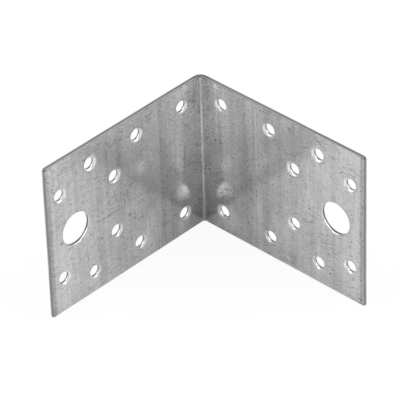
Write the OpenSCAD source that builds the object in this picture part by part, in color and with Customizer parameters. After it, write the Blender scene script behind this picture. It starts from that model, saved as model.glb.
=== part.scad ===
// Corner brace bracket: one piece of galvanised sheet, punched flat and folded once to a right angle.
// The fold stands along +Z. Flange A runs along +X with its outer face towards +Y, and flange B runs
// along -Y with its outer face towards -X, so the inside of the corner opens towards +X and -Y.
// The origin is at the middle of the bounding box, level with the lower edge that the bracket stands on.

/* [Sheet] */
// Length of each flange, from the outer corner of the fold to the free end
flange_len = 80; // [70:0.5:140]
// Width of the sheet, along the fold
sheet_w = 65; // [56:0.5:120]
// Thickness of the sheet
sheet_t = 1.5; // [1:0.1:3]
// Inside radius of the fold
fold_r = 1.1; // [0.5:0.1:4]
// Radius that the shear leaves on the free corners of each flange
corner_r = 0.5; // [0.2:0.1:3]

/* [Nail holes] */
// Diameter of the nail holes, in the straight wall below their rolled rims
nail_d = 4.6; // [3:0.1:6]
// Outer corner of the fold to the column of nail holes nearest to it
fold_inset = 11.5; // [10:0.5:14]
// Step along the flange from one column of nail holes to the next
column_step = 11.7; // [9:0.1:12]
// Upper to lower nail hole in the three main columns
main_gap = 47.5; // [40:0.5:50]
// Upper to lower nail hole in the close pair
pair_gap = 24; // [18:0.5:30]
// Upper to lower nail hole beside the free end
end_gap = 36; // [28:0.5:40]
// Free end to the two nail holes beside it
end_inset = 6.5; // [5:0.1:8]

/* [Bolt hole] */
// Diameter of the bolt hole in each flange
bolt_d = 13; // [9:0.1:14]
// Free end to the centre of the bolt hole
bolt_inset = 13.5; // [12:0.1:18]

/* [Punched and sheared edges] */
// Width of the rim that the small punch rolls over around a nail hole, where it enters
nail_roll = 0.8; // [0.4:0.05:0.9]
// Depth of that rim
nail_roll_depth = 0.45; // [0.1:0.05:0.45]
// Width of the rim that the large punch rolls over around a bolt hole, where it enters
bolt_roll = 0.3; // [0.2:0.05:0.6]
// Depth of that rim
bolt_roll_depth = 0.25; // [0.1:0.05:0.45]
// Depth of the torn zone at the rim where the punch leaves
tear_depth = 0.3; // [0.1:0.05:0.5]
// How far the torn zone opens out beyond the punched wall
tear_flare = 0.08; // [0.02:0.01:0.2]
// Radius that the shear rolls over around the inner face of the sheet
edge_roll = 0.3; // [0.1:0.05:0.5]

/* [Hidden] */
$fn = 48;
// Cutters run this far past the surface that they cut through
past = 1;
// Outside radius of the fold
fold_outer_r = fold_r + sheet_t;
// Middle of the sheet's width, where the bolt hole sits and about which the nail holes are symmetric
mid_w = sheet_w / 2;
// Distances from the outer corner to each column of holes
main_columns = [for (step = [0, 2, 4]) fold_inset + step * column_step];
pair_column = fold_inset + 3 * column_step;
end_column = flange_len - end_inset;
bolt_column = flange_len - bolt_inset;
// Centre of every nail hole, as distance from the outer corner and height
nail_holes = [
    for (side = [-1, 1]) each [
        for (column = main_columns) [column, mid_w + side * main_gap / 2],
        [pair_column, mid_w + side * pair_gap / 2],
        [end_column, mid_w + side * end_gap / 2]
    ]
];

// The shapes below are drawn with the outer corner of the fold on the Z axis.

// Draws its children on flange A and again, mirrored, on flange B. On the flange, X runs from the outer
// corner to the free end, Y runs up the fold and Z runs from the outer face to the inner one.
module on_both_flanges() {
    for (flip = [0, 1])
        mirror([flip, flip, 0])
            rotate([90, 0, 0])
                children();
}

// One quarter turn of a ring about the centre of the fold, from the end of flange B to flange A
module around_fold() {
    translate([fold_outer_r, -fold_outer_r, 0])
        rotate([0, 0, 90])
            rotate_extrude(angle = 90)
                children();
}

// Waste outside the round of radius r that replaces a square corner. The corner is at the origin, the
// sheet lies towards +X and +Y, and the waste runs clear of it by run.
module corner_waste(r, run = past) {
    difference() {
        translate([-run, -run]) square(r + run);
        translate([r, r]) circle(r);
    }
}

// The flat stretch of a flange, from the end of the fold's round to the free end
module flat_stretch() {
    translate([fold_outer_r, 0, 0])
        cube([flange_len - fold_outer_r, sheet_w, sheet_t]);
}

// The quarter turn of sheet between the two flanges
module fold() {
    around_fold()
        translate([fold_r, 0])
            square([sheet_t, sheet_w]);
}

// Waste of one punched hole of diameter d: a straight wall between the rolled rim on the inner face and
// the torn, slightly wider rim on the outer face. In section the rolled rim is an arc that leaves the
// face smoothly at the distance roll from the wall and reaches the wall at the given depth.
module punch(d, roll, depth) {
    r = d / 2;
    arc_r = (roll * roll + depth * depth) / (2 * depth);
    rotate_extrude() {
        translate([0, -past]) square([r, sheet_t + 2 * past]);
        polygon([
            [0, -past], [r + tear_flare, -past], [r + tear_flare, 0],
            [r, tear_depth], [0, tear_depth]
        ]);
        difference() {
            translate([0, sheet_t - depth]) square([r + roll, depth + past]);
            translate([r + roll, sheet_t - arc_r]) circle(arc_r);
        }
    }
}

// Waste that rounds the free corners of a flange
module free_corners() {
    for (top = [0, 1])
        translate([flange_len, top * sheet_w, -past])
            mirror([1, 0, 0])
                mirror([0, top, 0])
                    linear_extrude(sheet_t + 2 * past) corner_waste(corner_r);
}

// Waste of the rolled edge where the inner face of a flange meets its upper, lower and free edges
module rolled_edges() {
    for (top = [0, 1])
        translate([fold_outer_r, top * sheet_w, sheet_t])
            mirror([0, top, 0])
                rotate([90, 0, 90])
                    linear_extrude(flange_len - fold_outer_r + past)
                        mirror([0, 1]) corner_waste(edge_roll);
    translate([flange_len, sheet_w + past, sheet_t])
        rotate([90, 0, 0])
            linear_extrude(sheet_w + 2 * past)
                rotate(180) corner_waste(edge_roll);
}

// The same rolled edge carried around the inside of the fold
module rolled_fold() {
    for (top = [0, 1])
        around_fold()
            translate([fold_r, top * sheet_w])
                mirror([0, top]) corner_waste(edge_roll, fold_r / 2);
}

module bracket() {
    color([0.64, 0.65, 0.65])
        translate([-flange_len / 2, flange_len / 2, 0])
            difference() {
                union() {
                    on_both_flanges() flat_stretch();
                    fold();
                }
                on_both_flanges() {
                    for (hole = nail_holes) translate(hole) punch(nail_d, nail_roll, nail_roll_depth);
                    translate([bolt_column, mid_w]) punch(bolt_d, bolt_roll, bolt_roll_depth);
                    free_corners();
                    rolled_edges();
                }
                rolled_fold();
            }
}

bracket();
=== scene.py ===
"""Dresses the corner brace bracket: one punched and folded strip of galvanised steel sheet.

The sheet is rebuilt as a fine surface inside the box of the frame's own solid, with the rims that a punch
and a shear leave, and is given a zinc finish with its streaks, specks and scratches.
"""
import logging
import math
from dataclasses import dataclass, field
from enum import IntEnum

import bpy
import numpy as np
from mathutils import Matrix, Vector


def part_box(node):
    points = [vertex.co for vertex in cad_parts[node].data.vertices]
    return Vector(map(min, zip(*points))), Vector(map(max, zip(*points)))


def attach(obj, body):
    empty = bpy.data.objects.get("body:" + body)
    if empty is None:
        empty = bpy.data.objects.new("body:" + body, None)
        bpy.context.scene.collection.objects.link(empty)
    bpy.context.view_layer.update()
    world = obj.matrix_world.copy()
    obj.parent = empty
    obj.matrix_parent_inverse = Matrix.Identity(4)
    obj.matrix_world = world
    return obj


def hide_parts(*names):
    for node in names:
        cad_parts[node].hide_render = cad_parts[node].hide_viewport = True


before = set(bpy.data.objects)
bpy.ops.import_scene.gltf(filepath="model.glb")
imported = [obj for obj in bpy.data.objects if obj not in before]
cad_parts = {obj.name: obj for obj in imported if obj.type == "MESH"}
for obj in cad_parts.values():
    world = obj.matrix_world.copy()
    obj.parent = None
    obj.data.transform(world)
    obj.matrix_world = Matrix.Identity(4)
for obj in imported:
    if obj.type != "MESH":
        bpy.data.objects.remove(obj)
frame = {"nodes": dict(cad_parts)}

LOG = logging.getLogger("bracket")
MM = 0.001
NODE = "bracket"
BODY = "root"
Array = np.ndarray
Socket = bpy.types.NodeSocket
# A mark wider than this is carried by the points of the mesh, and a narrower one by the shader
BROAD_MARK = 2.5 * MM
# Share of a mark's half size within which its change in tone is full
MARK_CORE = 0.3


class Zone(IntEnum):
    """The finish that a stretch of surface takes, as the number of its material."""

    FACE = 0
    BURNISHED = 1
    TORN = 2
    SHEARED = 3


class Side(IntEnum):
    """The side of the sheet whose streaks and specks a stretch of surface shows."""

    INNER = 0
    OUTER = 1


@dataclass(frozen=True)
class SheetSizes:
    """Sizes of the folded sheet, in metres.

    Args:
        flange: outer corner of the fold to the free end.
        width: size along the fold.
        thick: thickness of the sheet.
        fold_r: inside radius of the fold.
        corner_r: radius of the free corners.
    """

    flange: float
    width: float
    thick: float = 1.5 * MM
    fold_r: float = 1.1 * MM
    corner_r: float = 0.5 * MM

    @property
    def outer_r(self) -> float:
        """Outside radius of the fold."""
        return self.fold_r + self.thick

    @property
    def fold_half(self) -> float:
        """Half of the fold's length on the flat strip, taken at the middle of the thickness."""
        return (self.fold_r + self.thick / 2) * math.pi / 4

    @property
    def strip_half(self) -> float:
        """Half of the whole strip's length, laid flat."""
        return self.along(self.flange)

    def along(self, from_corner: float) -> float:
        """Place on the flat strip of a point on flange A, this far from the outer corner."""
        return self.fold_half + from_corner - self.outer_r

    def folded(self, along: Array, up: Array, height: Array) -> Array:
        """Carries points of the flat strip round the fold.

        On a flange, a point lies at its height square off the outer face. In the fold it lies on a circle
        about the fold's centre, of radius (outside radius - height), turned by the share of the fold passed.

        Args:
            along: place along the strip, 0 at the middle of the fold, positive on flange A.
            up: height above the lower edge.
            height: distance inwards from the outer face.

        Returns:
            Points as rows of x, y, z in the frame.
        """
        past_fold = np.abs(along) - self.fold_half
        run = self.outer_r + np.maximum(past_fold, 0.0)
        turn = math.pi / 4 * (1 - np.clip(along / self.fold_half, -1.0, 1.0))
        radius = self.outer_r - height
        flat, on_a = past_fold >= 0, along > 0
        from_b = np.where(flat, np.where(on_a, run, height), self.outer_r - radius * np.sin(turn))
        from_a = np.where(flat, np.where(on_a, height, run), self.outer_r - radius * np.cos(turn))
        return np.stack([from_b - self.flange / 2, self.flange / 2 - from_a, up], axis=-1)


@dataclass(frozen=True)
class Hole:
    """One punched hole on the flat strip.

    Args:
        along: place of its centre along the strip.
        up: height of its centre.
        radius: radius of its straight wall.
        block: half of the side of the square that its rim patch fills.
    """

    along: float
    up: float
    radius: float
    block: float


@dataclass(frozen=True)
class HoleLayout:
    """Where the holes of each flange are, in metres, as on the frame's solid.

    Args:
        nail_r: radius of the nail holes' straight wall.
        bolt_r: radius of the bolt hole.
        fold_inset: outer corner of the fold to the column of nail holes nearest to it.
        column_step: step from one column of nail holes to the next.
        main_gap: upper to lower nail hole in the three main columns.
        pair_gap: upper to lower nail hole in the close pair.
        end_gap: upper to lower nail hole beside the free end.
        end_inset: free end to the two nail holes beside it.
        bolt_inset: free end to the centre of the bolt hole.
        nail_block: half of the side of the square that a nail hole's rim patch fills.
        bolt_block: the same for a bolt hole.
    """

    nail_r: float = 2.3 * MM
    bolt_r: float = 6.5 * MM
    fold_inset: float = 11.5 * MM
    column_step: float = 11.7 * MM
    main_gap: float = 47.5 * MM
    pair_gap: float = 24.0 * MM
    end_gap: float = 36.0 * MM
    end_inset: float = 6.5 * MM
    bolt_inset: float = 13.5 * MM
    nail_block: float = 3.75 * MM
    bolt_block: float = 8.4 * MM

    def holes(self, sheet: SheetSizes) -> list[Hole]:
        """Places every hole of both flanges on the flat strip.

        Args:
            sheet: the sheet that they are punched in.

        Returns:
            The holes.
        """
        columns = [(self.fold_inset + step * self.column_step, self.main_gap) for step in (0, 2, 4)]
        columns.append((self.fold_inset + 3 * self.column_step, self.pair_gap))
        columns.append((sheet.flange - self.end_inset, self.end_gap))
        middle = sheet.width / 2
        made = []
        for flange in (1, -1):
            for from_corner, gap in columns:
                for half_gap in (-gap / 2, gap / 2):
                    place = flange * sheet.along(from_corner)
                    made.append(Hole(place, middle + half_gap, self.nail_r, self.nail_block))
            place = flange * sheet.along(sheet.flange - self.bolt_inset)
            made.append(Hole(place, middle, self.bolt_r, self.bolt_block))
        return made


@dataclass(frozen=True)
class CutEdge:
    """How a punched or sheared edge looks in section, in metres.

    Args:
        roll: width of the rolled edge at the inner face.
        depth: how far through the sheet the rolled edge goes.
        sink: how far the inner face has sunk where it meets the rolled edge.
        reach: distance over which that sinking dies away.
        split: height above the outer face of the line between the wall's two zones.
        flare: how far the wall opens out at the outer face.
        upper: finish of the wall next to the inner face.
        lower: finish of the wall next to the outer face.
        wander: how far the line between the zones strays.
        clean: number of the rolled edge's segments that keep the finish of the face.
        turns: number of segments in the rolled edge.
        lip: size of the last small bevel at the outer face.
    """

    roll: float
    depth: float
    sink: float
    reach: float
    split: float
    flare: float
    upper: Zone
    lower: Zone
    wander: float
    clean: int
    turns: int = 6
    lip: float = 0.03 * MM

    def section(self, thick: float) -> tuple[Array, Array, Array, list[Zone]]:
        """Points of the section, from the inner face round to the outer one.

        The rolled edge is the arc of a circle. It starts at the slope that the sinking has there,
        sink / reach, and the slope of its chord is midway between its first and last slopes. The upper
        zone is straight, and the lower zone leans out by the flare and ends in the lip.

        Args:
            thick: thickness of the sheet.

        Returns:
            Inset into the sheet from the straight wall, height above the outer face, how much of the wander
            each point takes, and the finish of the stretch that follows each point but the last.
        """
        chord, start = math.atan2(self.depth, self.roll), math.atan2(self.sink, self.reach)
        arc_r = math.hypot(self.roll, self.depth) / (2 * math.sin(chord - start))
        slope = np.linspace(start, 2 * chord - start, self.turns + 1)
        roll_foot = thick - self.sink - self.depth
        inset = [*arc_r * (np.sin(slope[-1]) - np.sin(slope)), 0.0, 0.0, self.flare / 2, self.flare,
                 self.flare + self.lip]
        height = [*roll_foot + arc_r * (np.cos(slope) - np.cos(slope[-1])), (roll_foot + self.split) / 2,
                  self.split, self.split / 2, self.lip, 0.0]
        share = [0.0] * (self.turns + 1) + [0.4, 1.0, 0.4, 0.0, 0.0]
        zones = [Zone.FACE] * self.clean + [self.upper] * (self.turns - self.clean + 2) + [self.lower] * 3
        return np.array(inset), np.array(height), np.array(share), zones


class MeshParts:
    """Collects grids of points on the flat strip and the faces between them."""

    def __init__(self) -> None:
        """Starts with no points and no faces."""
        self.points: list[Array] = []
        self.faces: list[Array] = []
        self.zones: list[Array] = []
        self.sides: list[Array] = []
        self.count = 0
        # Along, up and height of the points that the mesh keeps
        self.kept = np.zeros((3, 0))

    def add(self, along: Array, up: Array, height: Array) -> Array:
        """Adds a grid of points.

        Args:
            along: place of each along the strip.
            up: height of each up the strip.
            height: distance of each inwards from the outer face.

        Returns:
            The number of each point, in the same shape.
        """
        along, up, height = np.broadcast_arrays(along, up, height)
        self.points.append(np.stack([along, up, height], axis=-1).reshape(-1, 3))
        first = self.count
        self.count += along.size
        return np.arange(first, self.count).reshape(along.shape)

    def join(self, numbers: Array, zone: Zone, side: Side, keep: Array | None = None,
             flip: bool = False) -> None:
        """Joins a grid of numbered points into quads.

        Args:
            numbers: two-dimensional array of point numbers.
            zone: finish of these faces.
            side: side of the sheet whose pattern they show.
            keep: which of the quads to keep, or None for all.
            flip: turns the faces over.
        """
        corners = np.stack([numbers[:-1, :-1], numbers[1:, :-1], numbers[1:, 1:], numbers[:-1, 1:]], axis=-1)
        picked = corners.reshape(-1, 4) if keep is None else corners[keep]
        self.faces.append(picked[:, ::-1] if flip else picked)
        self.zones.append(np.full(len(picked), zone, np.int32))
        self.sides.append(np.full(len(picked), side, np.int32))

    def mesh(self, name: str, sheet: SheetSizes, side_shift: float) -> bpy.types.Mesh:
        """Makes the mesh, smooth all over, with places on the flat strip as its UV map, in metres.

        Args:
            name: name of the mesh.
            sheet: the sheet that folds the strip.
            side_shift: how far along the strip the outer side's pattern is taken from the inner side's.

        Returns:
            The mesh, without the points that no face uses.
        """
        faces = np.concatenate(self.faces)
        used, faces = np.unique(faces, return_inverse=True)
        faces = faces.reshape(-1, 4)
        self.kept = np.concatenate(self.points)[used].T
        along, up, height = self.kept
        made = bpy.data.meshes.new(name)
        made.vertices.add(len(used))
        made.vertices.foreach_set("co", sheet.folded(along, up, height).ravel())
        made.loops.add(faces.size)
        made.loops.foreach_set("vertex_index", faces.ravel().astype(np.int32))
        made.polygons.add(len(faces))
        made.polygons.foreach_set("loop_start", np.arange(0, faces.size, 4, dtype=np.int32))
        made.polygons.foreach_set("material_index", np.concatenate(self.zones))
        made.polygons.foreach_set("use_smooth", np.ones(len(faces), bool))
        shift = np.concatenate(self.sides)[:, None] * side_shift
        places = np.stack([along[faces] + shift, up[faces]], axis=-1)
        made.uv_layers.new(name="strip").data.foreach_set("uv", places.ravel())
        made.update(calc_edges=True)
        made.validate()
        return made


@dataclass
class FoldedSheet:
    """The bracket's one piece: the punched, sheared and folded strip.

    Args:
        sheet: sizes of the sheet.
        layout: places of the holes.
        nail_rim: section of the nail holes' rims, which a small punch has rolled over far.
        bolt_rim: section of the bolt holes' rims.
        sheared: section of the sheet's own edges.
        pitch: distance between the lines of the grid.
        fold_segments: segments around the fold.
        border: width of the patch along the sheet's edges.
        run_in: shares of the way from a patch's block to its cut edge at which it has points.
        support: distance from the cut edge to the last of them.
        arc_steps: points on each side of a corner that its quarter circle takes up.
        eased_steps: points before those that are drawn towards the corner.
        sway: how far the sheet is out of flat.
        torn_at_fold: how much deeper the dull zone of the sheared edge goes at the fold, as a multiple
            of the wander; partly torn metal, partly painted shade of the edge that bulges there.
        drawn: how far the fold has drawn in the sheet's outer side at the upper and lower edge.
        drawn_span: half of the width of that stretch, as a multiple of the fold's half length.
        torn_span: the same for the deeper dull zone.
        crease: how far the fold's bright line lies from its middle, towards flange A.
        side_shift: how far along the strip the outer side's pattern is taken from the inner side's.
        parts: the grids that the mesh is made of.
    """

    sheet: SheetSizes
    layout: HoleLayout = HoleLayout()
    nail_rim: CutEdge = CutEdge(
        roll=0.8 * MM, depth=0.45 * MM, sink=0.05 * MM, reach=0.2 * MM, split=0.63 * MM, flare=0.08 * MM,
        upper=Zone.BURNISHED, lower=Zone.TORN, wander=0.08 * MM, clean=5)
    bolt_rim: CutEdge = CutEdge(
        roll=0.3 * MM, depth=0.25 * MM, sink=0.10 * MM, reach=0.6 * MM, split=0.85 * MM, flare=0.08 * MM,
        upper=Zone.BURNISHED, lower=Zone.TORN, wander=0.08 * MM, clean=5)
    sheared: CutEdge = CutEdge(
        roll=0.3 * MM, depth=0.3 * MM, sink=0.10 * MM, reach=0.7 * MM, split=0.42 * MM, flare=0.04 * MM,
        upper=Zone.SHEARED, lower=Zone.BURNISHED, wander=0.12 * MM, clean=1)
    pitch: float = 0.65 * MM
    fold_segments: int = 12
    border: float = 1.3 * MM
    run_in: tuple[float, ...] = (0.35, 0.6, 0.8, 0.93, 1.0)
    support: float = 0.06 * MM
    arc_steps: int = 2
    eased_steps: int = 8
    sway: float = 0.12 * MM
    torn_at_fold: float = 2.6
    drawn: float = 0.3 * MM
    drawn_span: float = 1.4
    torn_span: float = 3.2
    crease: float = 0.5 * MM
    side_shift: float = 0.4
    parts: MeshParts = field(default_factory=MeshParts)

    def swayed(self, along: Array, up: Array) -> Array:
        """How far the whole sheet lies inwards of its true place: a sum of long waves, never under 0."""
        wave = np.sin(along * 110 + 0.6) + np.sin(up * 95 + along * 45 + 2.1) + np.sin(along * 210 - up * 60)
        return self.sway * (wave + 3) / 6

    def from_sheared(self, along: Array, up: Array) -> Array:
        """Distance to the nearest of the sheet's own edges."""
        return np.minimum(np.minimum(up, self.sheet.width - up), self.sheet.strip_half - np.abs(along))

    def from_punched(self, along: Array, up: Array, radii: tuple[float, ...]) -> Array:
        """Distance to the wall of the nearest hole that has one of these radii."""
        gaps = [np.hypot(along - hole.along, up - hole.up) - hole.radius
                for hole in self.layout.holes(self.sheet) if hole.radius in radii]
        return np.minimum.reduce(gaps)

    def inner_height(self, along: Array, up: Array) -> Array:
        """Height of the inner face: the thickness, less the sinking that dies away from each cut edge.

        The sinking is e to the power of minus (distance from the rolled edge / reach), times its depth.

        Args:
            along: place along the strip.
            up: place up it.

        Returns:
            Height above the outer face.
        """
        gaps = ((self.sheared, self.from_sheared(along, up)),
                (self.nail_rim, self.from_punched(along, up, (self.layout.nail_r,))),
                (self.bolt_rim, self.from_punched(along, up, (self.layout.bolt_r,))))
        sunk = 0.0
        for edge, gap in gaps:
            sunk = np.maximum(sunk, edge.sink * np.exp(-np.maximum(gap - edge.roll, 0.0) / edge.reach))
        return self.sheet.thick - sunk

    def grid_lines(self) -> tuple[Array, Array]:
        """Spreads the lines of the grid, closer together round the fold.

        Returns:
            Places of the lines along the strip, and places of the lines up it.
        """
        sheet = self.sheet
        flange = np.linspace(sheet.fold_half, sheet.strip_half - self.border,
                             round((sheet.flange - sheet.outer_r) / self.pitch))
        fold = np.linspace(-sheet.fold_half, sheet.fold_half, self.fold_segments + 1)
        along = np.concatenate([-flange[:0:-1], fold, flange[1:]])
        up = np.linspace(self.border, sheet.width - self.border, round(sheet.width / self.pitch))
        return along, up

    @staticmethod
    def around(low: tuple[int, int], high: tuple[int, int]) -> tuple[Array, Array]:
        """Walks round a block of the grid, anticlockwise from its low corner and back to it.

        Args:
            low: column and row of the low corner.
            high: column and row of the high corner.

        Returns:
            Columns and rows of the points passed.
        """
        (left, bottom), (right, top) = low, high
        across, rise = np.arange(left, right), np.arange(bottom, top)
        columns = (across, np.full(len(rise), right), across[::-1] + 1, np.full(len(rise) + 1, left))
        rows = (np.full(len(across), bottom), rise, np.full(len(across), top), rise[::-1] + 1, [bottom])
        return np.concatenate(columns), np.concatenate(rows)

    def rim(self, edge: CutEdge, outline: Array, inwards: Array, block: Array, inner: Array, outer: Array,
            stray: Array, flip: bool) -> None:
        """Fills the patch between a block of the grid and a cut edge, over both faces and the wall.

        Each spoke runs in a straight line from the block to the edge, follows the edge's section, and runs
        back to the block on the outer face.

        Args:
            edge: section of the edge.
            outline: points of the straight wall, as rows of along and up.
            inwards: direction into the sheet at each of them.
            block: points of the block's own outline.
            inner: numbers of the block's points on the inner face.
            outer: their numbers on the outer face.
            stray: how far the line between the two zones strays at each spoke, as a share of the wander.
            flip: turns the faces over, for an edge that lies outside its block.
        """
        inset, height, share, zones = edge.section(self.sheet.thick)
        run_in = np.array(self.run_in)

        def spokes(last_inset: float, shares: Array) -> Array:
            """Points between the block and the edge, at these shares of the way."""
            foot = outline + inwards * last_inset
            return block[:, None] + (foot - block)[:, None] * shares[:, None]

        on_inner = spokes(inset[0] + self.support, run_in)
        first = self.parts.add(*self.placed(on_inner, self.inner_height(on_inner[..., 0], on_inner[..., 1])))
        on_wall = outline[:, None] + inwards[:, None] * inset[:, None]
        wall = self.parts.add(*self.placed(on_wall, height + edge.wander * share * stray[:, None]))
        on_outer = spokes(inset[-1] + self.support, run_in[::-1])
        last = self.parts.add(*self.placed(on_outer, np.zeros(on_outer.shape[:2])))

        def closed(numbers: Array) -> Array:
            """The last spoke is the first one again."""
            numbers[-1] = numbers[0]
            return numbers

        first, wall, last = closed(first), closed(wall), closed(last)
        self.parts.join(np.column_stack([inner, first, wall[:, 0]]), Zone.FACE, Side.INNER, flip=flip)
        for station, zone in enumerate(zones):
            side = Side.INNER if zone is Zone.FACE else Side.OUTER
            self.parts.join(wall[:, station:station + 2], zone, side, flip=flip)
        self.parts.join(np.column_stack([wall[:, -1], last, outer]), Zone.FACE, Side.OUTER, flip=flip)

    @staticmethod
    def ragged(count: int, seed: int) -> Array:
        """A closed ragged line from -1 to 1, as the sum of three waves round the lap."""
        lap = np.linspace(0.0, 2 * math.pi, count)
        return sum(np.sin(lap * turns + seed * turns) for turns in (5, 11, 23)) / 3

    def placed(self, points: Array, height: Array) -> tuple[Array, Array, Array]:
        """Moves points of the flat strip as the fold and the sway of the whole sheet leave them.

        At the fold, the outer side is stretched and so drawn in at the upper and lower edge: by the full
        amount at the outer face and not at all at the inner one, in a bell curve round the fold, and less
        and less away from the edge.

        Args:
            points: places on the true strip, as rows of along and up.
            height: distance of each inwards from the outer face.

        Returns:
            Along, up and height of each.
        """
        along, up = points[..., 0], points[..., 1]
        off = up - self.sheet.width / 2
        from_edge = self.sheet.width / 2 - np.abs(off)
        beside = along / (self.drawn_span * self.sheet.fold_half)
        share = np.exp(-beside ** 2 - from_edge / (2 * self.sheet.thick))
        drawn = self.drawn * share * np.clip(1 - height / self.sheet.thick, 0.0, 1.0)
        return along, up - np.sign(off) * drawn, height + self.swayed(along, up)

    def outer_edge(self, block: Array, corners: list[int]) -> tuple[Array, Array]:
        """The sheet's own outline, point for point beside the border block.

        A point of a straight side lies square off the block, and is drawn towards the corner by a square
        law over the last stretch. The points next to each corner are spread over its quarter circle.

        Args:
            block: points round the block, as rows of along and up.
            corners: numbers of the four corner points in that row.

        Returns:
            Points of the outline and the direction into the sheet at each.
        """
        middle = np.array([0.0, self.sheet.width / 2])
        half = np.array([self.sheet.strip_half, self.sheet.width / 2])
        off = block - middle
        reach = half - self.border
        beside = np.abs(off) > reach * (1 - 1e-6)
        spread = self.arc_steps
        last = reach - spread * self.pitch
        ease = np.clip((np.abs(off) - last) / (self.eased_steps * self.pitch) + 1, 0.0, 1.0) ** 2
        towards = np.sign(off) * ease * (half - self.sheet.corner_r - last)
        outline = np.where(beside, np.sign(off) * half, off + towards)
        inwards = np.where(beside, -np.sign(off), 0.0)
        for number in corners:
            sign = np.sign(off[number])
            steps = np.arange(-spread, spread + 1)
            picked = (number + steps) % (len(block) - 1)
            turn = math.pi / 4 * (1 - steps / spread * sign[0] * sign[1])
            arm = sign * np.stack([np.sin(turn), np.cos(turn)], axis=-1)
            outline[picked] = sign * (half - self.sheet.corner_r) + arm * self.sheet.corner_r
            inwards[picked] = -arm
        outline[-1], inwards[-1] = outline[0], inwards[0]
        return outline + middle, inwards

    def build(self) -> bpy.types.Object:
        """Makes the sheet's mesh: a grid on each face, with a rim patch at each hole and along the edges.

        Returns:
            The piece, without its finishes.
        """
        along, up = self.grid_lines()
        grid = np.stack(np.meshgrid(along, up, indexing="ij"), axis=-1)
        inner = self.parts.add(*self.placed(grid, self.inner_height(grid[..., 0], grid[..., 1])))
        outer = self.parts.add(*self.placed(grid, np.zeros(inner.shape)))
        keep = np.ones((len(along) - 1, len(up) - 1), bool)
        for seed, hole in enumerate(self.layout.holes(self.sheet)):
            low, high = ((int(np.abs(along - hole.along - side).argmin()),
                          int(np.abs(up - hole.up - side).argmin())) for side in (-hole.block, hole.block))
            keep[low[0]:high[0], low[1]:high[1]] = False
            place = self.around(low, high)
            centre = np.array([hole.along, hole.up])
            block = grid[place]
            away = block - centre
            away /= np.linalg.norm(away, axis=1, keepdims=True)
            edge = self.nail_rim if hole.radius == self.layout.nail_r else self.bolt_rim
            self.rim(edge, centre + away * hole.radius, away, block, inner[place], outer[place],
                     self.ragged(len(block), seed), False)
        self.parts.join(inner, Zone.FACE, Side.INNER, keep)
        self.parts.join(outer, Zone.FACE, Side.OUTER, keep, flip=True)
        last = (len(along) - 1, len(up) - 1)
        place = self.around((0, 0), last)
        corners = [0, last[0], last[0] + last[1], 2 * last[0] + last[1]]
        outline, inwards = self.outer_edge(grid[place], corners)
        # At the fold the dull zone goes deeper: partly torn metal, partly painted shade of the bulged edge
        darker_at_fold = np.exp(-(outline[:, 0] / (self.torn_span * self.sheet.fold_half)) ** 4)
        stray = self.ragged(len(outline), len(grid)) * (1 - darker_at_fold) - self.torn_at_fold * darker_at_fold
        self.rim(self.sheared, outline, inwards, grid[place], inner[place], outer[place], stray, True)
        mesh = self.parts.mesh("galvanised_sheet", self.sheet, self.side_shift)
        self.carry_values(mesh)
        made = bpy.data.objects.new("galvanised_sheet", mesh)
        bpy.context.scene.collection.objects.link(made)
        return made

    def carry_values(self, mesh: bpy.types.Mesh) -> None:
        """Gives the mesh's points the values that its finishes read.

        They are the distances to the nearest nail hole, to the fold's bright line, to the free end and to
        the upper edge, and the change in tone from the broad marks of the inner side, painted reflections and
        highlights among them.

        Args:
            mesh: the sheet's mesh.
        """
        along, up, height = self.parts.kept
        # Broad marks of the inner side, painted reflections and highlights among them
        broad = sum(mark.tone_at(along, up) for mark in marks_and_painted_reflections() if mark.broad)
        from_nail = self.from_punched(along, up, (self.layout.nail_r,))
        values = {"from_nail": from_nail, "from_fold": np.abs(along - self.crease),
                  "from_end": self.sheet.strip_half - np.abs(along), "from_top": self.sheet.width - up,
                  "broad_marks_and_painted_light": np.where(height > self.sheet.thick / 2, broad, 0.0)}
        for name, value in values.items():
            mesh.attributes.new(name, "FLOAT", "POINT").data.foreach_set("value", value)

    def dress(self, piece: bpy.types.Object) -> None:
        """Gives the sheet its finishes, in the order of the zones, and its place in the frame.

        Args:
            piece: the sheet.
        """
        finishes = {Zone.FACE: ZincFace(), Zone.BURNISHED: BurnishedWall(), Zone.TORN: TornWall("torn_wall"),
                    # The sheared wall is darker at the fold (partly painted shade) and on its upper corners
                    # (painted shade)
                    Zone.SHEARED: TornWall("sheared_wall", 0.23, 0.5, at_fold=0.7, at_corner=0.42)}
        for zone in Zone:
            piece.data.materials.append(finishes[zone].material())
        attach(piece, BODY)
        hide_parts(NODE)
        LOG.info("%s: %d faces", piece.name, len(piece.data.polygons))


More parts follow.
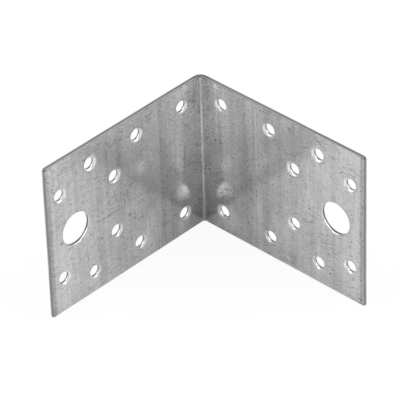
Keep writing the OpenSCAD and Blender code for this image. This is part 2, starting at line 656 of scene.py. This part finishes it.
class Recipe:
    """A material in the making: one Principled shader and the nodes that feed it."""

    def __init__(self, name: str) -> None:
        """Starts an empty material of this name."""
        self.material = bpy.data.materials.new(name)
        self.material.use_nodes = True
        self.tree = self.material.node_tree
        self.tree.nodes.clear()
        self.shader = self.tree.nodes.new("ShaderNodeBsdfPrincipled")
        end = self.tree.nodes.new("ShaderNodeOutputMaterial")
        self.tree.links.new(self.shader.outputs["BSDF"], end.inputs["Surface"])

    def node(self, kind: str, settings: dict | None = None,
             **inputs: Socket | float | tuple) -> bpy.types.Node:
        """Adds a node.

        Args:
            kind: type of the node.
            settings: its own properties.
            inputs: what goes into its sockets, by name with underscores for spaces.

        Returns:
            The node.
        """
        made = self.tree.nodes.new(kind)
        for name, value in (settings or {}).items():
            setattr(made, name, value)
        for name, value in inputs.items():
            self.feed(made.inputs[name.replace("_", " ")], value)
        return made

    def feed(self, socket: Socket, value: Socket | float | tuple) -> None:
        """Links an output to this socket, or sets its value."""
        if isinstance(value, Socket):
            self.tree.links.new(value, socket)
        else:
            socket.default_value = value

    def strip_place(self) -> Socket:
        """Place on the flat strip, in metres."""
        return self.node("ShaderNodeUVMap", {"uv_map": "strip"}).outputs["UV"]

    def object_place(self) -> Socket:
        """Place in the frame, in metres."""
        return self.node("ShaderNodeTexCoord").outputs["Object"]

    def carried(self, name: str) -> Socket:
        """One of the values that the mesh carries: a distance in metres, or a change in tone."""
        return self.node("ShaderNodeAttribute", {"attribute_name": name}).outputs["Fac"]

    def noise(self, place: Socket, marks: tuple[float, float, float], detail: float = 2.0, turn: float = 0.0,
              shift: float = 0.0) -> Socket:
        """Smooth noise from 0 to 1.

        Args:
            place: where the noise is read, in metres.
            marks: number of bumps per metre in each direction.
            detail: number of finer layers.
            turn: turn of the pattern in the plane of the strip, in radians.
            shift: how far the pattern is moved.

        Returns:
            The noise.
        """
        turned = self.node("ShaderNodeMapping", Vector=place, Rotation=(0.0, 0.0, turn))
        scaled = self.node("ShaderNodeMapping", Vector=turned.outputs["Vector"], Scale=marks,
                           Location=(shift, shift, shift))
        made = self.node("ShaderNodeTexNoise", Vector=scaled.outputs["Vector"], Scale=1.0, Detail=detail)
        return made.outputs["Fac"]

    def fade(self, value: Socket, low: float, high: float, to_low: float = 0.0,
             to_high: float = 1.0) -> Socket:
        """Carries low..high to to_low..to_high in a smooth step, and holds it beyond."""
        made = self.node("ShaderNodeMapRange", {"interpolation_type": "SMOOTHSTEP"}, Value=value,
                         From_Min=low, From_Max=high, To_Min=to_low, To_Max=to_high)
        return made.outputs["Result"]

    def total(self, *values: Socket | float) -> Socket:
        """Adds values up."""
        total = values[0]
        for value in values[1:]:
            total = self.maths("ADD", total, value)
        return total

    def maths(self, operation: str, first: Socket | float, second: Socket | float) -> Socket:
        """One sum with two values."""
        made = self.node("ShaderNodeMath", {"operation": operation})
        self.feed(made.inputs[0], first)
        self.feed(made.inputs[1], second)
        return made.outputs["Value"]

    def varied(self, mean: float, spread: float, noise: Socket) -> Socket:
        """A value that goes from half the spread below its mean to half above it, as the noise rises."""
        return self.total(mean - spread / 2, self.times(noise, spread))

    def times(self, first: Socket | float, second: Socket | float) -> Socket:
        """The product of two values."""
        return self.maths("MULTIPLY", first, second)

    def moved(self, place: Socket, step: Socket) -> Socket:
        """A place moved by the same step in each direction."""
        made = self.node("ShaderNodeVectorMath", {"operation": "ADD"})
        self.feed(made.inputs[0], place)
        self.feed(made.inputs[1], step)
        return made.outputs["Vector"]

    def tinted(self, value: Socket, tint: tuple[float, float, float]) -> Socket:
        """A grey value times a tint, as a colour."""
        made = self.node("ShaderNodeVectorMath", {"operation": "SCALE"}, Scale=value)
        made.inputs[0].default_value = tint
        return made.outputs["Vector"]

    def bump(self, height: Socket, depth: float) -> None:
        """Puts a bump of this depth, in metres, on the shader."""
        made = self.node("ShaderNodeBump", Height=height, Strength=1.0, Distance=depth)
        self.feed(self.shader.inputs["Normal"], made.outputs["Normal"])


@dataclass(frozen=True)
class Layer:
    """One layer of soft light and dark marks in the zinc.

    Args:
        marks: number of marks per metre along the strip and up it.
        strength: how much they change the zinc's reflectance, from the darkest to the lightest.
        detail: number of finer layers in each.
        contrast: half of the range of noise that is drawn out to the full strength.
    """

    marks: tuple[float, float]
    strength: float
    detail: float = 2.0
    contrast: float = 0.2


@dataclass(frozen=True)
class Scratches:
    """Short thin dark marks that lie one way.

    Args:
        turn: their turn from level, in radians.
        marks: number of marks per metre along them and across them.
        strength: how much darker they are.
        rare: level that the noise must pass for a mark to show.
        patches: number per metre of the patches that they come in.
        bare: level that the coarse noise must pass for a patch to begin.
    """

    turn: float
    marks: tuple[float, float]
    strength: float
    rare: float = 0.66
    patches: float = 90.0
    bare: float = 0.5


@dataclass(frozen=True)
class Specks:
    """Small dark dots that come in patches.

    Args:
        strength: how much darker they are.
        marks: number of dots per metre along the strip and up it.
        rare: level that the noise must pass for a dot to show.
        patches: number of patches per metre.
        bare: level that the coarse noise must pass for a patch to begin.
        rough: how much rougher a dot is.
        pit: how deep a dot is, as a multiple of the grain.
    """

    strength: float = 0.5
    marks: tuple[float, float] = (900.0, 1100.0)
    rare: float = 0.62
    patches: float = 130.0
    bare: float = 0.36
    rough: float = 0.2
    pit: float = 1.5


@dataclass(frozen=True)
class EdgeToneAndPaintedLight:
    """A stretch of zinc near an edge, a nail hole or the fold that is darker, or lighter; painted shade and
    painted highlights among them.

    Args:
        strength: how much darker it is, or lighter if negative.
        gaps: for each distance that the mesh carries, how far the full change goes and where it ends.
    """

    strength: float
    gaps: dict[str, tuple[float, float]]


@dataclass(frozen=True)
class Mark:
    """One oval mark on the inner side of the sheet, in metres.

    Args:
        along: place of its middle along the strip.
        up: height of its middle.
        half_along: half of its size along the strip.
        half_up: half of its size up the strip.
        tone: how much lighter it is, or darker if negative.
    """

    along: float
    up: float
    half_along: float
    half_up: float
    tone: float

    @property
    def broad(self) -> bool:
        """Whether it is so wide that the points of the mesh can carry it."""
        return min(self.half_along, self.half_up) > BROAD_MARK

    def tone_at(self, along: Array, up: Array) -> Array:
        """Change in tone at places of the strip: full in the middle, in a smooth step to the outline."""
        reach = np.hypot((along - self.along) / self.half_along, (up - self.up) / self.half_up)
        share = np.clip((1.0 - reach) / (1.0 - MARK_CORE), 0.0, 1.0)
        return self.tone * share ** 2 * (3 - 2 * share)


def marks_and_painted_reflections() -> tuple[Mark, ...]:
    """Lists the marks that the sheet has from its making and handling, from the broad bands to the spots.

    Each row is the place along the strip and up it, half of the size in both directions, in millimetres,
    and the change in tone. Among the bands, the light marks at (12.5, 19.8) and (-12.6, 19.3) are painted
    reflections of the other flange's lowest hole beside the fold, and those at (10.3, 8.8) and (-10.3, 8.8)
    are painted highlights on the rims of the lowest nail holes beside the fold.

    Returns:
        The marks.
    """
    # (12.5, 19.8) and (-12.6, 19.3) are painted reflections of holes; (10.3, 8.8) and (-10.3, 8.8) are
    # painted highlights on hole rims
    bands = ((-12.2, 38, 3, 19, 0.12), (-33, 19, 4.5, 18, 0.1), (14.5, 42, 6, 26, 0.14),
             (22, 47, 3.2, 19, -0.08), (53, 52, 5.5, 20, 0.08), (-41, 55, 8, 14, -0.08),
             (15, 25, 7, 13, 0.3), (-72, 52, 9, 24, -0.13), (-44, 33, 7, 13, -0.12),
             (-28, 10, 6, 14, 0.25), (-28, 48, 6, 15, 0.1), (53, 33, 4, 13, 0.16), (34, 40, 7, 15, 0.08),
             (66, 16, 9, 24, -0.1), (27, 14, 6, 9, 0.12), (-12, 20, 4, 9, 0.14), (0, 57, 9, 16, -0.05),
             (13, 8, 6, 9, 0.24), (12.5, 19.8, 3.8, 4.9, 0.5), (-5.5, 60, 4, 9, -0.12),
             (-5, 4, 4, 7, -0.14), (5, 40, 4, 30, -0.06), (-33, 7, 6, 10, 0.1), (-60, 4, 6, 7, 0.12),
             (-12.6, 19.3, 3.9, 4.4, 0.42), (37, 14, 6, 10, 0.14), (46, 4, 5, 5, -0.1), (52, 42, 5, 22, 0.08),
             (-20, 40, 4, 24, -0.09), (-48, 53, 6, 15, -0.1), (-38, 34, 5, 8, -0.12),
             (-68, 62, 6, 6, -0.1), (-44, 7, 5, 10, -0.09), (-12, 4, 5, 6, 0.14), (12, 50, 4, 20, 0.08),
             (28, 19, 4, 7, 0.12), (36, 60, 4, 7, 0.08), (-32, 41.2, 3.2, 4, 0.18), (20, 5, 5, 6, 0.08),
             (-10.3, 8.8, 4, 4, 0.42), (10.3, 8.8, 4, 4, 0.34))
    streaks = ((24.9, 48, 0.7, 20, 0.2), (27.3, 47, 0.8, 21, 0.2), (28.1, 23, 0.9, 9, 0.16),
               (8, 47, 0.6, 20, 0.14), (57, 37, 0.8, 12, -0.14), (-36.3, 20, 0.5, 10, -0.14),
               (-9.7, 33, 0.45, 10, -0.3), (-0.6, 32, 0.6, 80, -0.16), (0.2, 60, 1.2, 14, -0.16))
    lines = ((-49, 29.3, 10, 0.6, -0.26), (-31, 29.6, 9, 0.5, -0.10), (-6, 29.2, 5.5, 0.6, -0.22),
             (54, 28.4, 5.5, 0.6, -0.2), (43, 2.2, 5.5, 0.5, -0.22), (-33, 26.3, 2.6, 0.4, -0.2),
             (44, 60.6, 2.2, 0.6, -0.22), (20, 5.3, 2.6, 0.5, -0.2))
    spots = ((-53.4, 21.3, 1.5, 0.7, -0.4), (-38.8, 24, 1.1, 0.7, -0.45), (-36.4, 23.4, 0.8, 0.6, -0.3),
             (-37.4, 36.8, 1.5, 0.6, -0.35), (-31.8, 48.4, 0.9, 0.6, -0.3), (-59.8, 59, 0.8, 0.8, -0.45),
             (-73, 29.8, 0.9, 0.9, -0.45), (-19.8, 9.8, 1.1, 0.7, -0.4), (-15.4, 10.8, 0.8, 0.7, -0.35),
             (-49.8, 4, 1.2, 0.6, -0.3), (-28.6, 4.5, 0.8, 1.0, -0.35), (-11.9, 40.2, 0.9, 0.6, -0.3),
             (-8.6, 46.9, 1.1, 0.7, -0.35), (-2.2, 45.6, 0.8, 0.7, -0.4), (-21, 48.2, 0.9, 0.7, -0.3),
             (-6, 34.4, 0.9, 0.6, -0.3), (-69, 25.6, 2.2, 0.7, -0.3), (10.6, 43, 0.9, 0.6, -0.3),
             (9.8, 39.4, 1.1, 0.7, -0.4), (31.5, 31.8, 0.8, 0.6, -0.4), (19.8, 24.5, 1.0, 0.7, -0.3),
             (24, 26, 0.7, 1.3, -0.3), (36.8, 21, 0.8, 0.8, -0.3), (62.3, 15, 0.9, 0.8, -0.4),
             (73.9, 10.2, 0.9, 0.7, -0.4), (53, 31, 1.1, 0.7, -0.25), (4, 51.6, 1.0, 0.9, -0.25),
             (22.8, 10, 0.6, 1.3, -0.3), (12.2, 19.9, 1.2, 0.8, -0.9), (13.9, 20.5, 1, 0.8, -0.7))
    return tuple(Mark(*(size * MM for size in row[:4]), row[4]) for row in bands + streaks + lines + spots)


@dataclass(frozen=True)
class ZincFace:
    """The rolled face of galvanised sheet: satin zinc with streaks up the sheet, specks and scratches.

    Args:
        grey: mean reflectance of the zinc.
        tint: its faint colour.
        rough: mean roughness.
        rough_spread: how far the roughness varies.
        layers: soft marks, from the broad streaks to the fine grain.
        scratches: thin marks.
        marks: single marks, painted reflections and highlights among them.
        ragged: how far the outlines of the single marks stray.
        ragged_marks: number of turns of those outlines per metre.
        specks: small dark dots.
        metallic: share of the surface that is bare metal and not a dull film.
        fold_rough: how much rougher the zinc is in the fold.
        fold_reach: how far from the fold's bright line that goes in full, and where it ends.
        rim_rough: how much rougher it is on the rolled rims of the nail holes.
        rim_reach: how far from the holes' walls that goes in full, and where it ends.
        clouds: number per metre, along the strip and up it, of the patches of rougher zinc.
        grain: number per metre, along the strip and up it, of the bumps of the grain.
        grain_depth: depth of those bumps.
        edge_tone_and_painted_light: the stretches of zinc that are darker or lighter near the edges, the nail
            holes and the fold, painted shade and painted highlights among them.
    """

    grey: float = 0.56
    tint: tuple[float, float, float] = (1.0, 1.004, 0.993)
    rough: float = 0.16
    rough_spread: float = 0.08
    layers: tuple[Layer, ...] = (
        Layer((200.0, 4.0), 0.13, contrast=0.15), Layer((520.0, 14.0), 0.10),
        Layer((1500.0, 55.0), 0.09, 3.0), Layer((320.0, 1500.0), 0.14), Layer((80.0, 80.0), 0.09, 4.0),
        Layer((1700.0, 1700.0), 0.18, 1.0))
    scratches: tuple[Scratches, ...] = (
        Scratches(0.02, (230.0, 2000.0), 0.4, 0.62), Scratches(0.62, (110.0, 2000.0), 0.35, 0.66),
        Scratches(-0.38, (110.0, 2000.0), 0.35, 0.67), Scratches(1.53, (120.0, 2000.0), 0.3, 0.65))
    marks: tuple[Mark, ...] = marks_and_painted_reflections()
    ragged: float = 0.7 * MM
    ragged_marks: float = 500.0
    specks: Specks = Specks()
    metallic: float = 0.85
    fold_rough: float = 0.12
    fold_reach: tuple[float, float] = (1.0 * MM, 2.0 * MM)
    rim_rough: float = 0.13
    rim_reach: tuple[float, float] = (0.7 * MM, 0.95 * MM)
    clouds: tuple[float, float] = (150.0, 40.0)
    grain: tuple[float, float] = (2600.0, 900.0)
    grain_depth: float = 0.006 * MM
    edge_tone_and_painted_light: tuple[EdgeToneAndPaintedLight, ...] = (
        # Darker towards the free ends, and along the upper edge
        EdgeToneAndPaintedLight(0.32, {"from_end": (1.2 * MM, 2.5 * MM)}),
        EdgeToneAndPaintedLight(0.20, {"from_top": (0.4 * MM, 1.0 * MM)}),
        # Painted shade beside the fold's bright line
        EdgeToneAndPaintedLight(0.03, {"from_fold": (1.4 * MM, 2.4 * MM)}),
        # Painted highlight: a lighter ring round each nail hole, for the glow of its rolled rim
        EdgeToneAndPaintedLight(-0.34, {"from_nail": (0.4 * MM, 0.8 * MM)}),
        # Painted shade at the upper end of the fold, where the edge bulges
        EdgeToneAndPaintedLight(0.16, {"from_top": (0.6 * MM, 1.6 * MM), "from_fold": (2.0 * MM, 4.5 * MM)}))

    def material(self) -> bpy.types.Material:
        """Makes the material.

        Returns:
            The material.
        """
        recipe = Recipe("zinc_face")
        place = recipe.strip_place()
        specks = self.specked(recipe, place)
        tone = recipe.total(self.rolled(recipe, place), recipe.times(specks, -self.specks.strength))
        stray = recipe.noise(place, (self.ragged_marks, self.ragged_marks, 1.0), 2.0, shift=23.0)
        strayed = recipe.moved(place, recipe.times(recipe.total(stray, -0.5), self.ragged))
        # Broad marks carried by the mesh, painted reflections and highlights among them
        tone = recipe.total(tone, recipe.carried("broad_marks_and_painted_light"))
        for mark in self.marks:
            if not mark.broad:
                tone = recipe.total(tone, self.marked(recipe, strayed, mark))
        # Darker and lighter stretches, painted shade and painted highlights among them
        for spot in self.edge_tone_and_painted_light:
            share = -spot.strength
            for name, (near, far) in spot.gaps.items():
                share = recipe.times(share, recipe.fade(recipe.carried(name), near, far, 1.0, 0.0))
            tone = recipe.total(tone, share)
        fold = recipe.fade(recipe.carried("from_fold"), *self.fold_reach, self.fold_rough, 0.0)
        rim = recipe.fade(recipe.carried("from_nail"), *self.rim_reach, self.rim_rough, 0.0)
        shader = recipe.shader.inputs
        recipe.feed(shader["Base Color"], recipe.tinted(recipe.times(tone, self.grey), self.tint))
        cloud = recipe.noise(place, (*self.clouds, 1.0), shift=17.0)
        rough = recipe.varied(self.rough, self.rough_spread, cloud)
        recipe.feed(shader["Roughness"], recipe.total(rough, recipe.times(specks, self.specks.rough),
                                                      fold, rim))
        shader["Metallic"].default_value = self.metallic
        grain = recipe.noise(place, (*self.grain, 1.0), 3.0)
        recipe.bump(recipe.total(grain, recipe.times(specks, -self.specks.pit)), self.grain_depth)
        return recipe.material

    def rolled(self, recipe: Recipe, place: Socket) -> Socket:
        """Tone of the zinc with its soft marks and scratches, as a share of the mean.

        Args:
            recipe: the material.
            place: place on the flat strip.

        Returns:
            The tone.
        """
        tone = 1.0
        for number, layer in enumerate(self.layers):
            noise = recipe.noise(place, (*layer.marks, 1.0), layer.detail, shift=number * 3.7)
            tone = recipe.total(tone, recipe.fade(noise, 0.5 - layer.contrast, 0.5 + layer.contrast,
                                                  -layer.strength / 2, layer.strength / 2))
        for number, scratches in enumerate(self.scratches):
            tone = recipe.total(tone, self.scratched(recipe, place, scratches, number * 5.3))
        return tone

    def specked(self, recipe: Recipe, place: Socket) -> Socket:
        """How much of a speck is at each place: fine noise where it and a coarse noise both peak.

        Args:
            recipe: the material.
            place: place on the flat strip.

        Returns:
            The share, from 0 to 1.
        """
        kind = self.specks
        fine = recipe.noise(place, (*kind.marks, 1.0), 1.0, shift=11.0)
        coarse = recipe.noise(place, (kind.patches, kind.patches, 1.0), shift=13.0)
        return recipe.times(recipe.fade(fine, kind.rare, kind.rare + 0.1),
                            recipe.fade(coarse, kind.bare, kind.bare + 0.22))

    @staticmethod
    def marked(recipe: Recipe, place: Socket, mark: Mark) -> Socket:
        """Change in tone from one narrow mark, as in Mark.tone_at.

        Args:
            recipe: the material.
            place: place on the flat strip.
            mark: the mark.

        Returns:
            The change.
        """
        centred = recipe.node("ShaderNodeMapping", {"vector_type": "TEXTURE"}, Vector=place,
                              Location=(mark.along, mark.up, 0.0),
                              Scale=(mark.half_along, mark.half_up, 1.0))
        reach = recipe.node("ShaderNodeVectorMath", {"operation": "LENGTH"}, Vector=centred.outputs["Vector"])
        return recipe.fade(reach.outputs["Value"], MARK_CORE, 1.0, mark.tone, 0.0)

    @staticmethod
    def scratched(recipe: Recipe, place: Socket, scratches: Scratches, shift: float) -> Socket:
        """Change in tone from a set of scratches: drawn-out noise where it and a coarse noise both peak.

        Args:
            recipe: the material.
            place: place on the flat strip.
            scratches: the set.
            shift: how far its pattern is moved.

        Returns:
            The change.
        """
        line = recipe.noise(place, (*scratches.marks, 1.0), 1.0, scratches.turn, shift)
        where = recipe.noise(place, (scratches.patches, scratches.patches, 1.0), 1.0, shift=shift + 1.9)
        dark = recipe.fade(line, scratches.rare, scratches.rare + 0.08)
        patches = recipe.fade(where, scratches.bare, scratches.bare + 0.12)
        return recipe.times(recipe.times(dark, patches), -scratches.strength)


@dataclass(frozen=True)
class BurnishedWall:
    """The part of a cut wall that the tool has rubbed smooth.

    Args:
        grey: mean reflectance.
        rough: mean roughness.
        spread: how far both vary.
        grain: number of bumps per metre.
        grain_depth: their depth.
    """

    grey: float = 0.6
    rough: float = 0.32
    spread: float = 0.1
    grain: float = 2500.0
    grain_depth: float = 0.003 * MM

    def material(self) -> bpy.types.Material:
        """Makes the material, with a faint fine grain.

        Returns:
            The material.
        """
        recipe = Recipe("burnished_wall")
        marks = recipe.noise(recipe.object_place(), (self.grain,) * 3, 3.0)
        shader = recipe.shader.inputs
        shade = recipe.varied(self.grey, self.spread, marks)
        recipe.feed(shader["Base Color"], recipe.tinted(shade, (1.0, 1.0, 0.995)))
        recipe.feed(shader["Roughness"], recipe.varied(self.rough, self.spread, marks))
        shader["Metallic"].default_value = 1.0
        recipe.bump(marks, self.grain_depth)
        return recipe.material


@dataclass(frozen=True)
class TornWall:
    """The part of a cut wall where the sheet has torn: rough, dull bare steel.

    Args:
        name: name of the material.
        grey: mean reflectance.
        rough: mean roughness.
        at_fold: reflectance at the fold, as a share of the mean: partly the metal torn most there, partly
            painted shade of the edge that bulges at the fold.
        at_corner: the same share on the rounds of the upper free corners: painted shade that dims a lamp's
            reflection there.
        fold_reach: how far from the fold's bright line that share goes in full, and where it ends.
        corner_reach: the same from the free end and from the upper edge.
        spread: how far the reflectance varies.
        rough_spread: how far the roughness varies.
        grain: number of bumps per metre.
        grain_depth: their depth.
    """

    name: str
    grey: float = 0.14
    rough: float = 0.6
    at_fold: float = 1.0
    at_corner: float = 1.0
    fold_reach: tuple[float, float] = (2.5 * MM, 5.5 * MM)
    corner_reach: tuple[float, float] = (0.3 * MM, 0.65 * MM)
    spread: float = 0.12
    rough_spread: float = 0.2
    grain: float = 5000.0
    grain_depth: float = 0.02 * MM

    def material(self) -> bpy.types.Material:
        """Makes the material, with a coarse broken grain.

        Returns:
            The material.
        """
        recipe = Recipe(self.name)
        grain = recipe.noise(recipe.object_place(), (self.grain,) * 3, 4.0)
        shader = recipe.shader.inputs
        # Darker at the fold: partly torn metal, partly painted shade of the bulged edge
        darker_at_fold = recipe.fade(recipe.carried("from_fold"), *self.fold_reach, self.at_fold, 1.0)
        shade = recipe.times(recipe.varied(self.grey, self.spread, grain), darker_at_fold)
        # Darker on the rounds of the upper free corners: painted shade that dims a lamp's reflection
        nearness = (recipe.fade(recipe.carried(name), *self.corner_reach, 1.0, 0.0)
                    for name in ("from_end", "from_top"))
        shade = recipe.times(shade, recipe.fade(recipe.times(*nearness), 0.0, 1.0, 1.0, self.at_corner))
        recipe.feed(shader["Base Color"], recipe.tinted(shade, (1.0, 0.985, 0.965)))
        recipe.feed(shader["Roughness"], recipe.varied(self.rough, self.rough_spread, grain))
        shader["Metallic"].default_value = 0.9
        recipe.bump(grain, self.grain_depth)
        return recipe.material


@dataclass(frozen=True)
class PhotoCamera:
    """The camera that took the photo, as fitted to the sheet's edges and holes.

    Args:
        azimuth: turn from looking along +Y, in degrees, positive towards a camera on the +X side.
        elevation: height above the horizon, in degrees.
        roll: turn about the line of sight, in degrees.
        away: distance from the aim, in metres.
        aim: the point that the camera was aimed past, in the frame.
        offset: how far the camera stands to the right of that line and above it.
        focal: focal length in pixels of the photo.
        frame: width of the photo in pixels.
    """

    azimuth: float = 44.59
    elevation: float = 36.11
    roll: float = -1.91
    away: float = 1213.6 * MM
    aim: tuple[float, float, float] = (-10.0 * MM, 10.0 * MM, 32.5 * MM)
    offset: tuple[float, float] = (-1.78 * MM, 5.09 * MM)
    focal: float = 3411.8
    frame: float = 400.0

    def place(self) -> bpy.types.Object:
        """Makes the camera and gives it to the scene.

        Returns:
            The camera.
        """
        turn, lift, roll = (math.radians(angle) for angle in (self.azimuth, self.elevation, self.roll))
        ahead = Vector((-math.sin(turn) * math.cos(lift), math.cos(turn) * math.cos(lift), -math.sin(lift)))
        level = Vector((math.cos(turn), math.sin(turn), 0.0))
        above = level.cross(ahead)
        place = Vector(self.aim) - ahead * self.away + level * self.offset[0] + above * self.offset[1]
        right = level * math.cos(roll) + above * math.sin(roll)
        top = above * math.cos(roll) - level * math.sin(roll)
        data = bpy.data.cameras.new("photo_camera")
        data.sensor_width = 36.0
        data.lens = self.focal / self.frame * data.sensor_width
        data.clip_start, data.clip_end = 0.05, 20.0
        camera = bpy.data.objects.new("photo_camera", data)
        bpy.context.scene.collection.objects.link(camera)
        axes = Matrix((right, top, -ahead)).transposed().to_4x4()
        camera.matrix_world = Matrix.Translation(place) @ axes
        bpy.context.scene.camera = camera
        return camera


@dataclass(frozen=True)
class Studio:
    """A plain white floor under soft light.

    Args:
        floor_half: half of the floor's side.
        floor_grey: reflectance of the floor.
        seen_white: share of the floor's look to the camera that is plain white.
        mirrored_white: the same share in what metal and glass show.
        sky: strength of the even light from all round.
        mirrored_sky: how far the sky goes from that strength to plain white in what metal and glass show.
        lamp_size: side of each soft lamp.
        lamps: place and power in watts of each soft lamp.
    """

    floor_half: float = 3.0
    floor_grey: float = 0.85
    seen_white: float = 0.93
    mirrored_white: float = 0.12
    sky: float = 0.6
    mirrored_sky: float = 0.55
    lamp_size: float = 1.1
    lamps: tuple[tuple[tuple[float, float, float], float], ...] = (
        ((-0.6, -0.6, 0.7), 11.0), ((0.6, 0.6, 0.7), 12.0))

    def build(self) -> None:
        """Makes the floor, the sky and the lamps."""
        self.floor()
        self.world()
        for place, watts in self.lamps:
            self.lamp(place, watts)

    @staticmethod
    def shown(tree: bpy.types.NodeTree, seen: float, mirrored: float) -> Socket:
        """A share: one value for rays from the camera, another in reflections and glass, and else 0.

        Args:
            tree: nodes of the material or the world.
            seen: value for rays from the camera.
            mirrored: value for reflected rays and for rays through glass.

        Returns:
            The share.
        """
        path = tree.nodes.new("ShaderNodeLightPath")
        shares = {"Is Camera Ray": seen, "Is Glossy Ray": mirrored, "Is Transmission Ray": mirrored}
        total = None
        for name, share in shares.items():
            step = tree.nodes.new("ShaderNodeMath")
            step.operation = "MULTIPLY_ADD"
            tree.links.new(path.outputs[name], step.inputs[0])
            step.inputs[1].default_value = share
            step.inputs[2].default_value = 0.0
            if total is not None:
                tree.links.new(total, step.inputs[2])
            total = step.outputs[0]
        return total

    def floor(self) -> None:
        """Makes the floor, which keeps a light shadow of the bracket."""
        half = self.floor_half
        mesh = bpy.data.meshes.new("floor")
        corners = [(-half, -half, 0), (half, -half, 0), (half, half, 0), (-half, half, 0)]
        mesh.from_pydata(corners, [], [(0, 1, 2, 3)])
        floor = bpy.data.objects.new("floor", mesh)
        bpy.context.scene.collection.objects.link(floor)
        material = bpy.data.materials.new("floor")
        material.use_nodes = True
        tree = material.node_tree
        tree.nodes.clear()
        matt = tree.nodes.new("ShaderNodeBsdfDiffuse")
        matt.inputs["Color"].default_value = (self.floor_grey,) * 3 + (1.0,)
        white = tree.nodes.new("ShaderNodeEmission")
        white.inputs["Strength"].default_value = 1.0
        mix = tree.nodes.new("ShaderNodeMixShader")
        end = tree.nodes.new("ShaderNodeOutputMaterial")
        tree.links.new(self.shown(tree, self.seen_white, self.mirrored_white), mix.inputs["Fac"])
        tree.links.new(matt.outputs[0], mix.inputs[1])
        tree.links.new(white.outputs[0], mix.inputs[2])
        tree.links.new(mix.outputs[0], end.inputs["Surface"])
        mesh.materials.append(material)

    def world(self) -> None:
        """Makes the sky: white to the camera, softer in reflections and softest on what is matt."""
        world = bpy.data.worlds.new("studio")
        world.use_nodes = True
        tree = world.node_tree
        tree.nodes.clear()
        sky = tree.nodes.new("ShaderNodeBackground")
        strength = tree.nodes.new("ShaderNodeMapRange")
        strength.inputs["To Min"].default_value = self.sky
        strength.inputs["To Max"].default_value = 1.0
        end = tree.nodes.new("ShaderNodeOutputWorld")
        tree.links.new(self.shown(tree, 1.0, self.mirrored_sky), strength.inputs["Value"])
        tree.links.new(strength.outputs["Result"], sky.inputs["Strength"])
        tree.links.new(sky.outputs[0], end.inputs["Surface"])
        bpy.context.scene.world = world

    def lamp(self, place: tuple[float, float, float], watts: float) -> None:
        """Makes a square soft lamp that faces the bracket.

        Args:
            place: its middle.
            watts: its power.
        """
        data = bpy.data.lights.new("soft_lamp", "AREA")
        data.size, data.energy = self.lamp_size, watts
        lamp = bpy.data.objects.new("soft_lamp", data)
        lamp.location = place
        lamp.rotation_euler = (-Vector(place)).to_track_quat("-Z", "Y").to_euler()
        bpy.context.scene.collection.objects.link(lamp)


def main() -> None:
    """Builds the bracket, its studio and its camera."""
    logging.basicConfig(level=logging.INFO, format="%(name)s: %(message)s")
    bpy.context.scene.view_settings.view_transform = "Standard"
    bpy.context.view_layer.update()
    PhotoCamera().place()
    low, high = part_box(NODE)
    folded = FoldedSheet(SheetSizes(high.x - low.x, high.z - low.z))
    folded.dress(folded.build())
    Studio().build()


if __name__ == "__main__":
    main()
